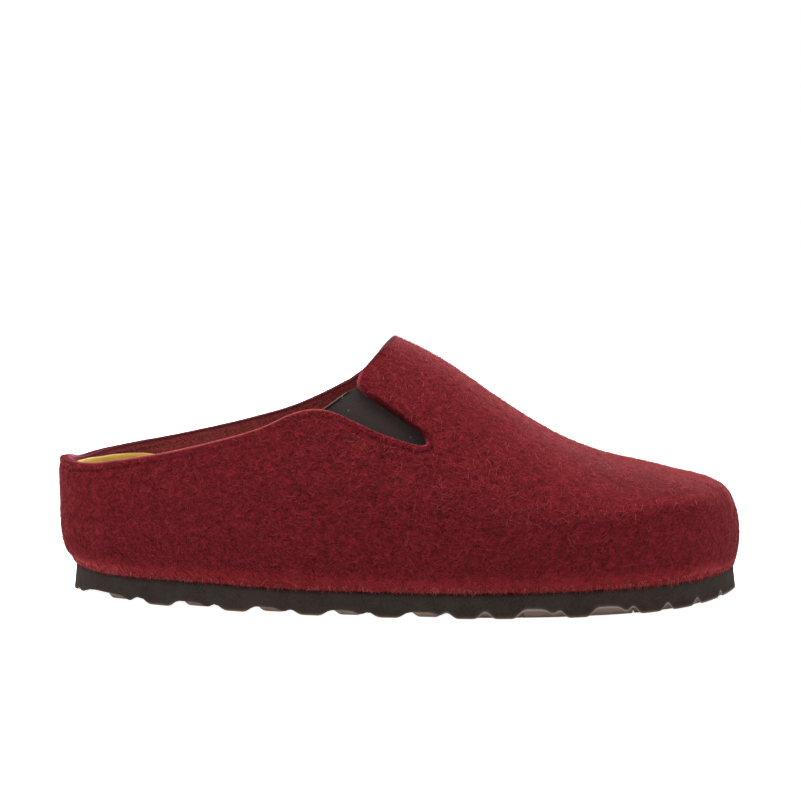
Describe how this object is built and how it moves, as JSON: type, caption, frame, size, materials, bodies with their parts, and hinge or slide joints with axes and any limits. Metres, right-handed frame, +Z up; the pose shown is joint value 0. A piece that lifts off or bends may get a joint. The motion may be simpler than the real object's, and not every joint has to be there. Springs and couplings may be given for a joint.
{
  "type": "felt clog",
  "caption": "House clog for the right foot: hollow felt upper with a tongue and an open heel collar, elastic gore on the outer side, contoured footbed and a lugged foam-rubber sole.",
  "frame": {"origin": "on the floor, below the centre of the clog's box", "axes": "+X from heel to toe, +Y towards the inner side of the foot, +Z up"},
  "size_m": [0.2606, 0.1012, 0.0981],
  "materials": {
    "foam_rubber": "matte, finely speckled",
    "cork_cover": "short napped cover over cork",
    "felt": "heathered wool felt with loose fibres",
    "elastic": "fine ribbed elastic cloth"
  },
  "bodies": {
    "root": {"sole": "foam_rubber", "footbed": "cork_cover", "upper": "felt", "gore": "elastic"}
  },
  "joints": []
}
